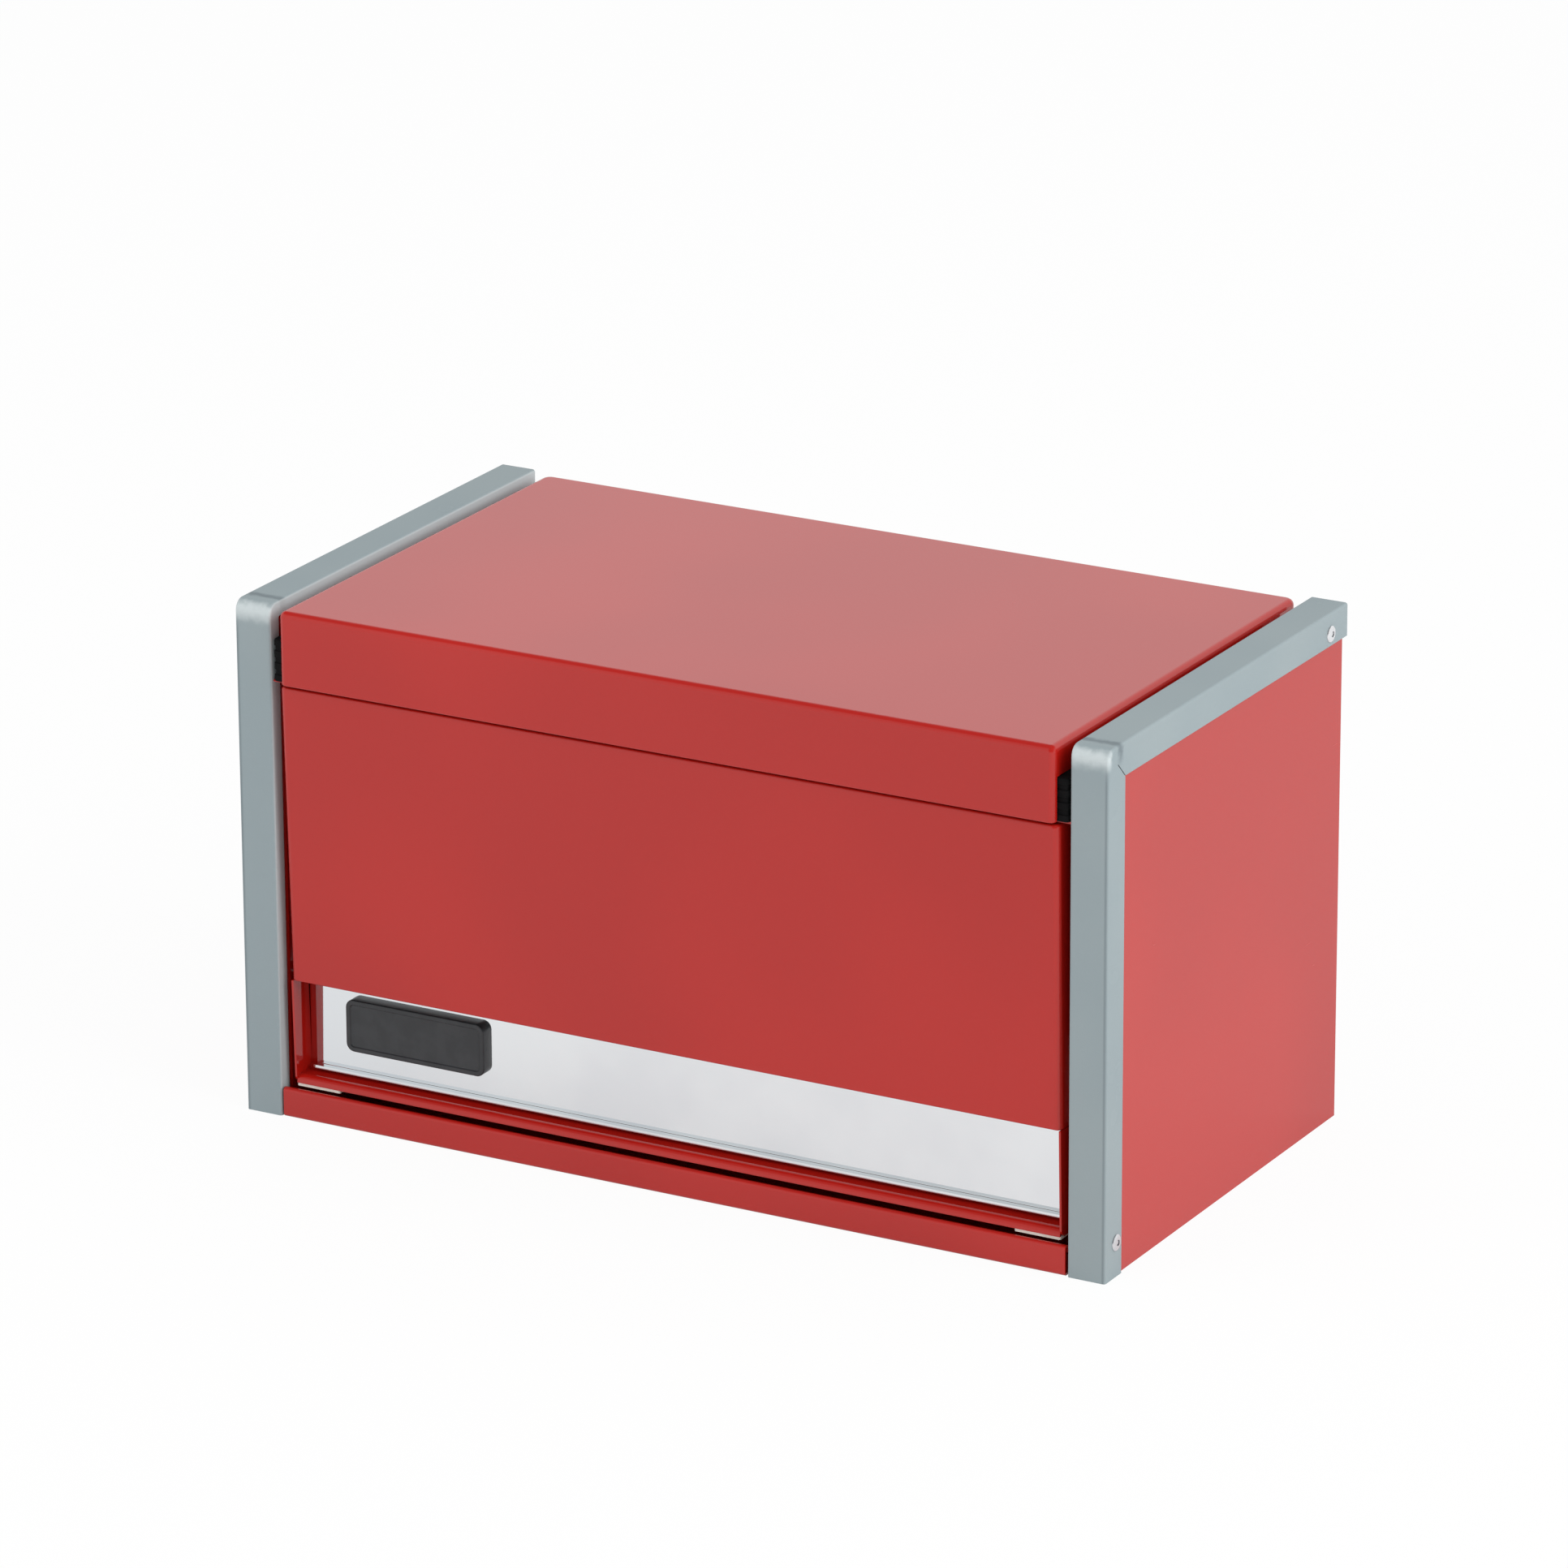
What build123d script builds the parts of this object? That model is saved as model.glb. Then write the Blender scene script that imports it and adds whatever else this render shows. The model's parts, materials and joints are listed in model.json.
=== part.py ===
"""Small steel tool chest: a hinged lid over a shallow tray, and one deep drawer on ball-bearing slides.

Millimetres. +X is the chest's right, +Y its back and +Z up. The origin is on the surface that the
chest stands on, under the middle of the case.
"""
import math
import os
from build123d import *

# ---- case
case_width = 365.0          # over the two side trims
case_depth = 192.6          # front plane of the trims to their back ends
case_height = 203.0         # top of the trims
sheet = 0.8                 # painted body sheet
bend = 1.6                  # outer radius of an ordinary fold
joint_gap = 0.3             # running gap between pieces that part

# ---- side trims and side panels
trim_sheet = 1.0
trim_face = 15.3            # width of the trim's front and top face
trim_flange = 12.8          # leg on the outside of the side panel
trim_return = 6.0           # leg on the inside
trim_fold = 1.0
trim_corner = 4.5           # pressed corner where the front edge turns into the top edge
mitre_slit = 8.5            # cut along the mitre of the outer leg
mitre_angle = 45.0
slit_width = 0.4
panel_setback = 2.0         # trims overhang the back edge of the side panels
post_depth = 12.0           # inner leg of the side panel's folded front and top edges

# ---- inner walls and back panel
wall_sheet = 1.0
wall_drop = 8.0             # below the top of the trims
wall_front = 8.0            # behind the front plane of the trims
wall_back_gap = 18.0        # from the back panel to the wall's back fold
back_flange = 12.0
back_lip = 9.0

# ---- base
sill_height = 11.6
sill_hem = 3.0              # narrow return folded in along the top of the sill
hem_bend = 1.3
sill_end_gap = 1.0          # to the trims
base_flange = 12.0

# ---- top tray
tray_lip = 11.0
tray_wall = 13.0
tray_hem = 3.0
tray_drop = 0.3             # underside of the tray floor below the lid's skirt
liner_thickness = 3.0
liner_gap = 0.6
rest_width = 11.4           # rubber lid rests in the tray's front corners
rest_depth = 12.7
rest_setback = 0.3
rest_corner = 1.5
rest_edge = 0.8

# ---- lid
lid_drop = 1.0              # below the top of the trims
lid_side_gap = 5.2          # between the lid and the trims
lid_overhang = 2.5          # in front of the trims
lid_flange = 11.8           # side and back flanges
lid_skirt = 29.0            # front flange
lid_hem = 5.0
soft_bend = 2.4             # outer radius of the lid's edges and of the drawer front's upright folds
hem_edge = 0.7              # rounding of a hemmed lower edge
lid_back_radius = 4.0

# ---- lid hinge
hinge_end_gap = 12.0        # from the ends of the lid
knuckle_count = 21
knuckle_gap = 0.4
pin_diameter = 2.0
pin_clearance = 0.05        # radial
leaf_sheet = 1.0
body_leaf_height = 14.0
lid_leaf_height = 11.0

# ---- rivets
rivet_diameter = 3.2
rivet_head = 6.4
rivet_head_height = 1.0
rivet_round = 0.8           # rounding of the head's rim
rivet_clearance = 0.05      # radial
rivet_tail = 4.2
rivet_tail_height = 0.9
mandrel_hole = 1.6
trim_rivet_front = 8.4      # from the front plane, on the upright leg
trim_rivet_height = 13.5
trim_rivet_back = 14.0      # from the trim's back end, on the top leg
trim_rivet_drop = 8.1       # below the top face
hinge_rivet_count = 4       # in each leaf
hinge_rivet_margin = 22.0

# ---- drawer front
front_side_gap = 4.2        # between the drawer front and the trims
front_top_gap = 0.6         # under the tray floor
front_bottom = 13.2
front_proud = 1.2           # top edge stands in front of the trims' plane
front_lean = 0.0302         # the face falls back by this much per millimetre down
front_flange = 10.7
front_fold = 1.2            # outer radius of the top fold
front_corner = 3.0          # outer radius of the rolled lower edge
face_bottom = 54.6          # lower edge of the face, over the finger recess
face_hem = 6.5
recess_wall = 14.1          # back wall of the recess, behind the front plane
panel_flange = 9.0
flange_gap = 2.0            # from a welded flange to the folds round it

# ---- pull strip, badge plate and glides
strip_end_gap = 4.1         # to the ends of the drawer front
strip_thickness = 1.2
strip_bottom = 17.7
strip_top = 66.0
strip_bend = 1.4
strip_lip = 4.0             # lower lip, out from the recess wall
badge_width = 60.4
badge_height = 20.8
badge_thickness = 3.3
badge_corner = 3.4
badge_edge = 0.7
badge_inset = 19.1          # from the left end of the drawer front
badge_z = 37.8
glide_length = 19.0
glide_width = 7.0
glide_thickness = 1.2
glide_inset = 0.6           # from the end of the drawer front
glide_corner = 0.8

# ---- drawer box
box_back_gap = 13.7         # to the back panel
box_bottom = 16.0
box_drop = 20.6             # rim below the top of the drawer front
box_corner = 3.0
box_rim = 6.0

# ---- ball-bearing slides
slide_back_gap = 3.4        # to the back of the drawer box
slide_height = 35.0
slide_thickness = 12.7
slide_sheet = 1.0
slide_centre = 70.0
slide_setback = 0.6         # behind the drawer front
slide_bend = 1.5
slide_web_gap = 2.0         # from the cabinet member's web to the middle member's web
ball_diameter = 3.0
ball_clearance = 0.05
ball_line = 7.55            # from the cabinet member's back to the line of balls
ball_count = 5              # in each row
ball_pitch = 17.0
cage_sheet = 0.5
cage_gap = 0.25
cage_margin = 12.0          # cage past its last ball
cage_lip = 0.9
screw_head = 5.6
screw_head_height = 0.9
screw_edge = 0.3            # chamfer round the head
screw_drive = 1.9           # round recess in the head
screw_drive_depth = 0.45
screw_diameter = 3.0
screw_places = (0.13, 0.87)  # along the member
screw_tail = 1.0            # past the sheets that it grips

# ---- derived places
front = -case_depth / 2
back = case_depth / 2
left = -case_width / 2
panel_back = back - panel_setback
wall_face = left + trim_face            # inner face of the left inner wall and trim
wall_top = case_height - wall_drop
skin_inside = left + trim_sheet + sheet
lid_half = -wall_face - lid_side_gap
lid_top = case_height - lid_drop
skirt_bottom = lid_top - lid_skirt
tray_level = skirt_bottom - tray_drop   # underside of the tray floor
front_top = tray_level - front_top_gap
front_half = -wall_face - front_side_gap
recess_y = front + recess_wall
ledge_top = front_bottom + front_corner
box_front = recess_y + sheet
box_back = panel_back - box_back_gap
box_top = front_top - box_drop
lid_flange_bottom = lid_top - lid_flange
rail_bottom = case_height - trim_sheet - post_depth
back_top = min(rail_bottom, lid_flange_bottom - joint_gap)
knuckle_radius = pin_diameter / 2 + leaf_sheet
hinge_half = lid_half - hinge_end_gap
hinge_y = panel_back + knuckle_radius
hinge_z = lid_flange_bottom - knuckle_radius - knuckle_gap
tray_floor_top = tray_level + sheet
leaf_face = panel_back + leaf_sheet
lid_back = leaf_face + sheet
badge_x = badge_inset + badge_width / 2 - front_half
box_half = -wall_face - slide_thickness
race_radius = ball_diameter / 2 + ball_clearance
race_outside = race_radius + slide_sheet
outer_balls = slide_height / 2 - race_outside
inner_balls = outer_balls - race_radius - race_outside
slide_front = box_front + slide_setback
slide_length = box_back - slide_back_gap - slide_front
tiny = 0.001
past = 1.0                              # how far a cutter reaches beyond the piece


# ---- shared shapes
def block(x_low, x_high, y_low, y_high, z_low, z_high):
    """Rectangular block between two corners."""
    size = (x_high - x_low, y_high - y_low, z_high - z_low)
    centre = ((x_low + x_high) / 2, (y_low + y_high) / 2, (z_low + z_high) / 2)
    return Pos(*centre) * Box(*size)


def along_x(outline, x_low, x_high):
    """Outline drawn in Y and Z, extruded between two places along X."""
    return extrude(Pos(x_low, 0, 0) * (Plane.YZ * outline), amount=x_high - x_low, dir=(1, 0, 0))


def along_y(outline, y_low, y_high):
    """Outline drawn in X and Z, extruded between two places along Y."""
    return extrude(Pos(0, y_low, 0) * (Plane.XZ * outline), amount=y_high - y_low, dir=(0, 1, 0))


def along_z(outline, z_low, z_high):
    """Outline drawn in X and Y, extruded between two heights."""
    return extrude(Pos(0, 0, z_low) * outline, amount=z_high - z_low, dir=(0, 0, 1))


def bent_sheet(points, thickness, radius):
    """Section of a sheet folded along the points, with its thickness on the path's right."""
    path = FilletPolyline(*points, radius=radius)
    return make_face(path.offset_2d(thickness, side=Side.RIGHT))


def rod(start, axis, radius, length):
    """Round rod from a point along an axis."""
    seat = (Align.CENTER, Align.CENTER, Align.MIN)
    return Plane(origin=start, z_dir=axis) * Cylinder(radius, length, align=seat)


def edges_near(shape, test):
    """Edges whose middle passes a test on its X, Y and Z."""
    return [edge for edge in shape.edges() if test(edge.center(CenterOf.BOUNDING_BOX))]


def mirrored(shape):
    """The same piece for the other side of the chest."""
    return mirror(shape, about=Plane.YZ)


def rivet(place, axis, grip):
    """Blind rivet: domed head on the outside, shank through the sheets and a set tail inside."""
    outward = Vector(*axis)
    seat = Vector(*place)
    head = rod(seat, axis, rivet_head / 2, rivet_head_height)
    rim = head.edges().sort_by_distance(seat + outward * rivet_head_height)[0]
    head = fillet(rim, rivet_round)
    shank = rod(seat, -outward, rivet_diameter / 2, grip + rivet_tail_height)
    tail = rod(seat - outward * grip, -outward, rivet_tail / 2, rivet_tail_height)
    pulled = rod(seat + outward * rivet_head_height, -outward, mandrel_hole / 2, rivet_head_height)
    return head + shank + tail - pulled


def rivet_hole(place, axis, grip):
    """Clearance hole for a rivet through all the sheets that it grips."""
    outward = Vector(*axis)
    start = Vector(*place) + outward * past
    return rod(start, -outward, rivet_diameter / 2 + rivet_clearance, grip + 2 * past)


# ---- case
def square_outline(inset, y_high):
    """Side outline in Y and Z, set in from the front and top edges."""
    y_low = front + inset
    z_high = case_height - inset
    return Pos((y_low + y_high) / 2, z_high / 2) * Rectangle(y_high - y_low, z_high)


def corner_radius(inset):
    """Radius of the side's upper front corner on a line set in from its edges."""
    return max(trim_corner - inset, bend / 2)


def edge_outline(inset, y_high):
    """Side outline with its upper front corner rounded."""
    whole = square_outline(inset, y_high)
    top_front = whole.vertices().sort_by_distance((front + inset, case_height - inset, 0))[0]
    return fillet(top_front, corner_radius(inset))


def folded_edge(inset, x_outer, x_inner, thickness, radius, y_high, outer_leg, inner_leg):
    """Sheet folded round the front and top edges of the left side, with an outer and an inner leg."""
    body = along_x(edge_outline(inset, y_high), x_outer, x_inner)
    y_low = front + inset
    z_high = case_height - inset
    corner = corner_radius(inset)

    def on_edge_path(middle):
        on_side = min(abs(middle.X - x_outer), abs(middle.X - x_inner)) < tiny
        in_front = abs(middle.Y - y_low) < corner
        on_top = abs(middle.Z - z_high) < corner
        return on_side and (in_front or on_top)

    body = fillet(edges_near(body, on_edge_path), radius)
    body -= along_x(edge_outline(inset + thickness, y_high), x_outer + thickness, x_inner - thickness)
    body -= along_x(edge_outline(inset + inner_leg, y_high), x_inner - thickness, x_inner)
    if outer_leg is not None:
        body -= along_x(square_outline(inset + outer_leg, y_high), x_outer, x_outer + thickness)
    return body


def trim_rivet_places():
    """Rivets through the outer leg of the left trim, on its outer face."""
    lower = (left, front + trim_rivet_front, trim_rivet_height)
    upper = (left, back - trim_rivet_back, case_height - trim_rivet_drop)
    return [lower, upper]


def trim_rivet_cuts():
    """Holes for the left trim's rivets."""
    return [rivet_hole(place, (-1, 0, 0), trim_sheet + sheet) for place in trim_rivet_places()]


def side_trim():
    """Left trim: a channel over the front and top edges of the side panel."""
    trim = folded_edge(0, left, left + trim_face, trim_sheet, trim_fold, back, trim_flange, trim_return)
    reach = mitre_slit / 2 - slit_width     # the slit runs out past the leg's inner corner
    middle = trim_flange - reach * math.sin(math.radians(mitre_angle))
    slit = Rot(X=-mitre_angle) * Box(2 * (trim_sheet + past), mitre_slit, slit_width)
    trim -= Pos(left, front + middle, case_height - middle) * slit
    return trim - trim_rivet_cuts()


def side_panel():
    """Left side panel, folded into a post along its front edge and a rail along its top edge."""
    x_outer = left + trim_sheet
    x_inner = wall_face - wall_sheet
    panel = folded_edge(trim_sheet, x_outer, x_inner, sheet, bend, panel_back, None, post_depth)
    return panel - trim_rivet_cuts()


def trim_rivets():
    """The four blind rivets that hold the trims."""
    rivets = [rivet(place, (-1, 0, 0), trim_sheet + sheet) for place in trim_rivet_places()]
    return rivets + [mirrored(one) for one in rivets]


def inner_wall():
    """Left inner wall: carries the slide and folds out to the side panel at its back."""
    y_back = panel_back - wall_back_gap
    points = [(skin_inside, y_back), (wall_face, y_back), (wall_face, front + wall_front)]
    wall = along_z(bent_sheet(points, wall_sheet, bend), sheet, wall_top)
    fold = (left, wall_face - wall_sheet, y_back - 2 * bend, y_back + past)
    wall -= block(*fold, 0, base_flange + joint_gap)
    wall -= block(*fold, rail_bottom - joint_gap, wall_top + past)
    return wall - slide_screw_cuts(wall_face, -1)


def back_panel():
    """Back panel with side flanges and a lip folded forward at its top."""
    points = [(panel_back - back_lip, back_top), (panel_back, back_top), (panel_back, 0)]
    panel = along_x(bent_sheet(points, sheet, bend), skin_inside, -skin_inside)
    flange = block(skin_inside, skin_inside + sheet, panel_back - back_flange, panel_back - sheet,
                   sheet, back_top - back_lip)
    panel += [flange, mirrored(flange)]
    return panel - body_leaf_holes()


def bottom_pan():
    """Base: floor, hemmed front sill between the trims, and low side and back flanges."""
    back_y = panel_back - sheet
    points = [(back_y, base_flange), (back_y, 0), (front, 0), (front, sill_height),
              (front + sill_hem, sill_height), (front + sill_hem, sill_height - sill_hem)]
    sill_half = -wall_face - sill_end_gap
    pan = along_x(bent_sheet(points, sheet, hem_bend), -sill_half, sill_half)
    post_clear = front + trim_sheet + post_depth + joint_gap
    wing = block(skin_inside, -sill_half, post_clear, back_y, 0, sheet)
    flange_back = panel_back - back_flange - joint_gap
    wing += block(skin_inside, skin_inside + sheet, post_clear, flange_back, 0, base_flange)
    return pan + wing + mirrored(wing)


# ---- top tray
def tray_floor():
    """Top tray: floor with a hemmed front lip between the lid rests, and low side and back walls."""
    lip_top = tray_level + tray_lip
    back_y = panel_back - sheet
    points = [(back_y, tray_level + tray_wall), (back_y, tray_level), (front, tray_level), (front, lip_top),
              (front + tray_hem, lip_top), (front + tray_hem, lip_top - tray_hem)]
    tray = along_x(bent_sheet(points, sheet, hem_bend), wall_face, -wall_face)
    notch_end = wall_face + rest_width + sheet + joint_gap
    notch = block(wall_face, notch_end, front - past, front + rest_depth, tray_floor_top, lip_top + past)
    notch += block(wall_face - past, notch_end, front - past, front + bend,
                   tray_level - past, lip_top + past)
    tray -= [notch, mirrored(notch)]
    wall_ends = (front + wall_front, back_y - sheet)
    wall = block(wall_face, wall_face + sheet, *wall_ends, tray_level, tray_level + tray_wall)
    return tray + wall + mirrored(wall) - body_leaf_holes()


def lid_rest():
    """Left rubber block in the tray's front corner, under the lid's side flange."""
    x_low = wall_face + sheet
    y_low = front + rest_setback
    top = lid_flange_bottom - joint_gap
    rest = block(x_low, x_low + rest_width, y_low, y_low + rest_depth, tray_floor_top, top)
    rest = fillet(rest.edges().filter_by(Axis.Z), rest_corner)
    return chamfer(edges_near(rest, lambda middle: middle.Z > top - tiny), rest_edge)


def tray_liner():
    """Foam liner on the tray floor, cut round the lid rests."""
    side = -wall_face - sheet - liner_gap
    y_low = front + sheet + liner_gap
    y_high = panel_back - 2 * sheet - liner_gap
    liner = block(-side, side, y_low, y_high, tray_floor_top, tray_floor_top + liner_thickness)
    notch = block(-side - past, wall_face + sheet + rest_width + joint_gap, y_low - past,
                  front + rest_setback + rest_depth + joint_gap, tray_level, lid_top)
    return liner - notch - mirrored(notch)


# ---- lid and hinge
def lid_shell(inset, z_low):
    """Solid with the lid's rounded edges, set in from its outside."""
    half = lid_half - inset
    shell = block(-half, half, front - lid_overhang + inset, lid_back - inset, z_low, lid_top - inset)
    uprights = shell.edges().filter_by(Axis.Z).group_by(Axis.Y)
    shell = fillet(uprights[-1], lid_back_radius - inset)
    uprights = shell.edges().filter_by(Axis.Z).group_by(Axis.Y)
    shell = fillet(uprights[0], soft_bend - inset)
    return fillet(shell.faces().sort_by(Axis.Z)[-1].edges(), soft_bend - inset)


def lid_pan():
    """Lid: deep front skirt with a hem, low side and back flanges, rounded back corners."""
    y_low = front - lid_overhang
    lid = lid_shell(0, skirt_bottom) - lid_shell(sheet, skirt_bottom - past)
    lid -= block(-lid_half - past, lid_half + past, y_low + soft_bend, lid_back + past,
                 skirt_bottom - past, lid_flange_bottom)
    hem_end = lid_half - soft_bend
    hem_back = y_low + 2 * sheet
    lid += block(-hem_end, hem_end, y_low + sheet, hem_back, skirt_bottom, skirt_bottom + lid_hem)
    lid = fillet(edges_near(lid, lambda middle: abs(middle.X) < tiny and middle.Z < skirt_bottom + tiny
                            and abs(middle.Y - y_low) < tiny), hem_edge)
    return lid - lid_leaf_holes()


def body_rivet_height():
    """Height of the rivets in the leaf on the back panel."""
    return hinge_z - knuckle_radius - (body_leaf_height - knuckle_radius) / 2


def lid_rivet_height():
    """Height of the rivets in the leaf on the lid."""
    return (lid_flange_bottom + hinge_z + lid_leaf_height) / 2 + knuckle_gap


def hinge_rivet_places(height, y_outer):
    """Rivets spread along a hinge leaf."""
    span = 2 * (hinge_half - hinge_rivet_margin)
    step = span / (hinge_rivet_count - 1)
    return [(index * step - span / 2, y_outer, height) for index in range(hinge_rivet_count)]


def body_leaf_rivets():
    """Rivets through the lower leaf, the back panel and the tray's back wall."""
    places = hinge_rivet_places(body_rivet_height(), leaf_face)
    return [rivet(place, (0, 1, 0), leaf_sheet + 2 * sheet) for place in places]


def body_leaf_holes():
    """Holes for the lower leaf's rivets."""
    places = hinge_rivet_places(body_rivet_height(), leaf_face)
    return [rivet_hole(place, (0, 1, 0), leaf_sheet + 2 * sheet) for place in places]


def lid_leaf_rivets():
    """Rivets through the lid's back flange and the upper leaf."""
    places = hinge_rivet_places(lid_rivet_height(), lid_back)
    return [rivet(place, (0, 1, 0), sheet + leaf_sheet) for place in places]


def lid_leaf_holes():
    """Holes for the upper leaf's rivets."""
    places = hinge_rivet_places(lid_rivet_height(), lid_back)
    return [rivet_hole(place, (0, 1, 0), sheet + leaf_sheet) for place in places]


def hinge_leaf(direction, height, first):
    """Hinge leaf below or above the pin, with every second knuckle rolled round it."""
    pitch = 2 * hinge_half / knuckle_count
    clear = knuckle_radius + knuckle_gap
    near = hinge_z + direction * clear
    far = hinge_z + direction * height
    leaf = block(-hinge_half, hinge_half, panel_back, leaf_face, min(near, far), max(near, far))
    knuckles = []
    for index in range(first, knuckle_count, 2):
        x_low = -hinge_half + index * pitch + knuckle_gap / 2
        x_high = x_low + pitch - knuckle_gap
        tab = block(x_low, x_high, panel_back, leaf_face, min(near, hinge_z), max(near, hinge_z))
        tube = rod(Vector(x_low, hinge_y, hinge_z), (1, 0, 0), knuckle_radius, x_high - x_low)
        knuckles += [tab, tube]
    leaf += knuckles
    start = Vector(-hinge_half - past, hinge_y, hinge_z)
    return leaf - rod(start, (1, 0, 0), pin_diameter / 2 + pin_clearance, 2 * (hinge_half + past))


def hinge_body_leaf():
    """Leaf riveted to the back panel."""
    return hinge_leaf(-1, body_leaf_height, 0) - body_leaf_holes()


def hinge_lid_leaf():
    """Leaf riveted inside the lid's back flange."""
    return hinge_leaf(1, lid_leaf_height, 1) - lid_leaf_holes()


def hinge_pin():
    """Hinge pin, as long as the knuckles."""
    return rod(Vector(-hinge_half, hinge_y, hinge_z), (1, 0, 0), pin_diameter / 2, 2 * hinge_half)


# ---- drawer front
def face_y(z, depth=0):
    """Y of the leaning drawer face at a height, or of a plane behind it."""
    return front - front_proud + (front_top - z) * front_lean + depth


def leaning(z_low, z_high, depth_low, depth_high):
    """Outline in Y and Z of a slab that leans with the drawer face."""
    corners = [(face_y(z_low, depth_low), z_low), (face_y(z_low, depth_high), z_low),
               (face_y(z_high, depth_high), z_high), (face_y(z_high, depth_low), z_high)]
    return make_face(Polyline(*corners, close=True))


def on_face_end(middle, end, depth):
    """Whether an edge's middle lies on the face's line, or behind it, at either end."""
    return abs(abs(middle.X) - end) < tiny and abs(middle.Y - face_y(middle.Z, depth)) < tiny


def drawer_front_skin():
    """Outer skin of the drawer front: leaning face, top flange and full-height side flanges."""
    inside = front_half - sheet
    face = along_x(leaning(face_bottom, front_top, 0, front_flange), -front_half, front_half)
    face = fillet(edges_near(face, lambda middle: on_face_end(middle, front_half, 0)), soft_bend)
    top_front = edges_near(face, lambda middle: abs(middle.X) < tiny and middle.Z > front_top - tiny
                           and abs(middle.Y - face_y(front_top)) < tiny)
    face = fillet(top_front, front_fold)
    behind = leaning(face_bottom - past, front_top - sheet, sheet, front_flange + past)
    hollow = along_x(behind, -inside, inside)
    face -= fillet(edges_near(hollow, lambda middle: on_face_end(middle, inside, sheet)), soft_bend - sheet)
    face += along_x(leaning(face_bottom, face_bottom + face_hem, sheet, 2 * sheet), -inside, inside)
    face = fillet(edges_near(face, lambda middle: abs(middle.X) < tiny and middle.Z < face_bottom + tiny
                             and abs(middle.Y - face_y(face_bottom)) < tiny), hem_edge)
    outline = leaning(front_bottom, face_bottom, 0, front_flange)
    low_corner = outline.vertices().sort_by_distance((face_y(front_bottom), front_bottom, 0))[0]
    flange = along_x(fillet(low_corner, front_corner), inside, front_half)
    return face + flange + mirrored(flange)


def drawer_front_panel():
    """Inner panel of the drawer front: recess wall, ledge with a rolled front edge and welded flanges."""
    lip_y = face_y(front_bottom)
    top = front_top - 2 * sheet
    points = [(lip_y + front_corner, ledge_top), (recess_y, ledge_top), (recess_y, top),
              (recess_y - panel_flange, top)]
    roll = Circle(front_corner) - Circle(front_corner - sheet)
    roll &= Pos(-front_corner / 2, front_corner / 2) * Rectangle(front_corner, front_corner)
    outline = bent_sheet(points, sheet, bend) + Pos(lip_y + front_corner, front_bottom) * roll
    inside = front_half - sheet
    panel = along_x(outline, -inside, inside)
    flange_low = face_bottom + face_hem + flange_gap
    flange_front = recess_y - panel_flange + flange_gap
    flange = block(-inside, -inside + sheet, flange_front, recess_y, flange_low, top - bend)
    return panel + flange + mirrored(flange)


def pull_strip():
    """Aluminium strip on the recess wall, running up behind the face and out in a lip at its foot."""
    points = [(recess_y, strip_top), (recess_y, strip_bottom), (recess_y - strip_lip, strip_bottom)]
    half = front_half - strip_end_gap
    return along_x(bent_sheet(points, strip_thickness, strip_bend), -half, half)


def badge_plate():
    """Bare rounded plate on the pull strip."""
    seat = recess_y - strip_thickness
    outline = Pos(badge_x, badge_z) * RectangleRounded(badge_width, badge_height, badge_corner)
    plate = along_y(outline, seat - badge_thickness, seat)
    return chamfer(plate.faces().sort_by(Axis.Y)[0].edges(), badge_edge)


def nylon_glides():
    """Two thin glides under the ends of the ledge's rolled edge, just over the sill."""
    lip_y = face_y(front_bottom)
    x_low = -front_half + glide_inset
    x_high = x_low + glide_length
    y_high = lip_y + glide_width
    glide = block(x_low, x_high, lip_y + joint_gap, y_high, front_bottom - glide_thickness, front_bottom)
    glide = fillet(glide.edges().filter_by(Axis.Z), glide_corner)
    glide += block(x_low + glide_corner, x_high - glide_corner, lip_y + front_corner, y_high - glide_corner,
                   front_bottom - glide_thickness, ledge_top - sheet)
    return [glide, mirrored(glide)]


# ---- drawer box
def drawer_box():
    """Welded drawer box with rounded corners and a hemmed rim."""
    outer = block(-box_half, box_half, box_front, box_back, box_bottom, box_top)
    outer = fillet(outer.edges().filter_by(Axis.Z), box_corner)
    outer = fillet(outer.faces().sort_by(Axis.Z)[0].edges(), bend)
    inner = block(-box_half + sheet, box_half - sheet, box_front + sheet, box_back - sheet,
                  box_bottom + sheet, box_top - box_rim)
    inner = fillet(inner.edges().filter_by(Axis.Z), box_corner - sheet)
    inner = fillet(inner.faces().sort_by(Axis.Z)[0].edges(), bend - sheet)
    hem = 2 * sheet
    rim = block(-box_half + hem, box_half - hem, box_front + hem, box_back - hem,
                box_top - box_rim - tiny, box_top + past)
    rim = fillet(rim.edges().filter_by(Axis.Z), box_corner - hem)
    holes = slide_screw_cuts(-box_half, 1)
    return outer - inner - rim - holes - [mirrored(hole) for hole in holes]


def drawer_liner():
    """Foam liner on the drawer's floor."""
    side = box_half - sheet - liner_gap
    floor_top = box_bottom + sheet
    liner = block(-side, side, box_front + sheet + liner_gap, box_back - sheet - liner_gap,
                  floor_top, floor_top + liner_thickness)
    liner = fillet(liner.edges().filter_by(Axis.Z), box_corner - sheet)
    return chamfer(liner.faces().sort_by(Axis.Z)[0].edges(), bend - sheet)


# ---- slides: sections are drawn with X from the cabinet member's back and Z from the slide's middle
def screw_centres():
    """Places along Y of the screws in each slide member."""
    return [slide_front + share * slide_length for share in screw_places]


def ball_race(height, upper):
    """Half ring round the upper or lower half of a ball."""
    ring = Circle(race_outside) - Circle(race_radius)
    reach = race_outside + past
    gap = cage_sheet / 2 + cage_gap
    middle = gap + reach / 2 if upper else -gap - reach / 2
    return Pos(ball_line, height) * (ring & (Pos(0, middle) * Rectangle(2 * reach, reach)))


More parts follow.
